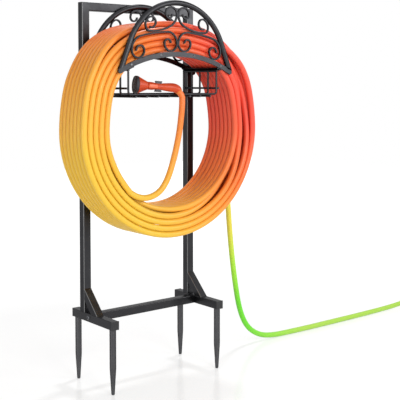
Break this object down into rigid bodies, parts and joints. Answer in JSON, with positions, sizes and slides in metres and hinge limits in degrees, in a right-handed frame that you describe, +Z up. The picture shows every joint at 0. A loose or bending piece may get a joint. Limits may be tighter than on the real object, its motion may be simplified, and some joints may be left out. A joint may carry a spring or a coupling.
{
  "type": "garden hose stand",
  "caption": "Free-standing black metal garden hose stand with a scrolled arch hanger, wire basket, ground spikes, a coiled garden hose and a spray nozzle.",
  "frame": {"origin": "on the ground at the middle of the stand's box, without the hose", "axes": "+Z up, +X to the stand's right as seen from the hose side, hose side faces -Y"},
  "size_m": [1.6334, 0.2638, 1.1335],
  "materials": {
    "powder_coat": "satin",
    "bolt_black": "satin",
    "zinc_steel": "satin",
    "cap_plastic": "matte",
    "hose_pvc": "satin",
    "nozzle_shell": "gloss",
    "nozzle_rubber": "matte",
    "nozzle_dark": "matte",
    "connector_brass": "satin"
  },
  "bodies": {
    "stand": {"basket_floor_wires": "powder_coat", "basket_hoops": "powder_coat", "basket_rim": "powder_coat", "basket_side_rails": "powder_coat", "cross_bar": "powder_coat", "cross_bar_bolts": "bolt_black", "cross_bar_plugs": "zinc_steel", "foot_end_caps": "cap_plastic", "front_arch": "powder_coat", "front_band": "powder_coat", "front_left_spike": "powder_coat", "front_right_spike": "powder_coat", "front_scrolls": "powder_coat", "hanger_bolts": "bolt_black", "hose_coil": "hose_pvc", "hose_coil_core": "hose_pvc", "hose_collar": "nozzle_shell", "hose_floor_run": "hose_pvc", "hose_nozzle_run": "hose_pvc", "inner_left_slat": "powder_coat", "inner_right_slat": "powder_coat", "left_brace": "powder_coat", "left_foot": "powder_coat", "left_upright": "powder_coat", "nozzle_body": "nozzle_shell", "nozzle_shroud": "nozzle_shell", "nozzle_tail": "nozzle_shell", "outer_left_slat": "powder_coat", "outer_right_slat": "powder_coat", "rear_arch": "powder_coat", "rear_band": "powder_coat", "rear_left_spike": "powder_coat", "rear_right_spike": "powder_coat", "rear_scrolls": "powder_coat", "right_brace": "powder_coat", "right_foot": "powder_coat", "right_upright": "powder_coat", "slat_rivets": "bolt_black", "spike_nuts": "zinc_steel", "tap_sleeve": "connector_brass", "tap_stem": "connector_brass", "tap_washer": "nozzle_rubber", "top_bar": "powder_coat"},
    "spray_dial": {"nozzle_dial": "nozzle_dark", "nozzle_bumper": "nozzle_rubber"},
    "spray_valve": {"nozzle_valve": "nozzle_dark"},
    "tap_swivel": {"tap_nut": "connector_brass"}
  },
  "joints": [
    {"name": "spray_dial_turn", "type": "hinge", "parent": "stand", "child": "spray_dial", "pos_m": [-0.11405, -0.07525, 0.88951], "axis": [-0.9426, 0.3246, 0.0785], "continuous": true},
    {"name": "valve_push", "type": "slide", "parent": "stand", "child": "spray_valve", "axis": [0.0742, -0.0255, 0.9969], "range_m": [-0.002, 0.002]},
    {"name": "tap_nut_turn", "type": "hinge", "parent": "stand", "child": "tap_swivel", "pos_m": [1.303, 0.0575, 0.0153], "axis": [1, 0, 0], "continuous": true}
  ]
}
